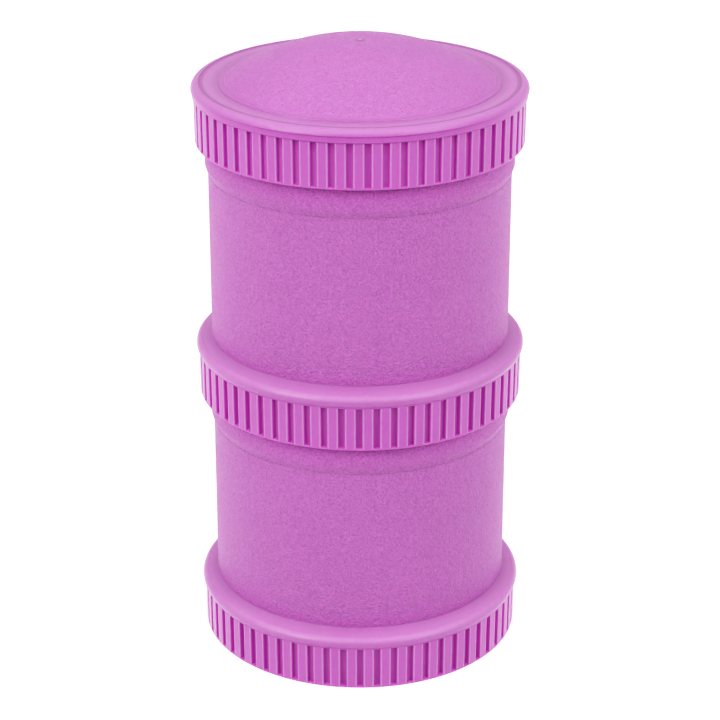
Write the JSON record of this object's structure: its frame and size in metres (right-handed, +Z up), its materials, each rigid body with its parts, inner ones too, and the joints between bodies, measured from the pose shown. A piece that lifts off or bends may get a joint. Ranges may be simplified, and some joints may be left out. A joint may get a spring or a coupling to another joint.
{
  "type": "toddler snack container",
  "caption": "Stacking snack container of round screw-together pods with ribbed grip skirts, closed by a domed screw lid.",
  "frame": {"origin": "centre of the ring that the stack stands on, on the axis of the pods", "axes": "+Z up along the axis of the pods, -Y towards the picture's viewer, +X to the viewer's right"},
  "size_m": [0.0828, 0.0828, 0.1564],
  "materials": {
    "pod_plastic": "moulded, fine grain on the wall, satin flange and ribs",
    "lid_plastic": "moulded, fine grain on the dome, satin rim and ribs",
    "lip_plastic": "moulded, satin"
  },
  "bodies": {
    "lower_pod": {"lower_pod": "pod_plastic", "lower_pod_seal_lip": "lip_plastic"},
    "upper_pod_seat": {"upper_pod_seal_lip": "lip_plastic"},
    "upper_pod": {"upper_pod": "pod_plastic"},
    "lid_seat": {"lid_seal_lip": "lip_plastic"},
    "lid": {"lid": "lid_plastic"}
  },
  "joints": [
    {"name": "upper_pod_rise", "type": "slide", "parent": "lower_pod", "child": "upper_pod_seat", "axis": [0, 0, 1], "range_m": [0, 0.01351]},
    {"name": "upper_pod_turn", "type": "hinge", "parent": "upper_pod_seat", "child": "upper_pod", "pos_m": [0, 0, 0.066], "axis": [0, 0, 1], "range_deg": [0, 1080]},
    {"name": "lid_rise", "type": "slide", "parent": "upper_pod", "child": "lid_seat", "axis": [0, 0, 1], "range_m": [0, 0.01351]},
    {"name": "lid_turn", "type": "hinge", "parent": "lid_seat", "child": "lid", "pos_m": [0, 0, 0.132], "axis": [0, 0, 1], "range_deg": [0, 1080]}
  ],
  "couplings": [
    {"joint": "upper_pod_rise", "follows": "upper_pod_turn", "m_per_rad": 0.0007162},
    {"joint": "lid_rise", "follows": "lid_turn", "m_per_rad": 0.0007162}
  ]
}
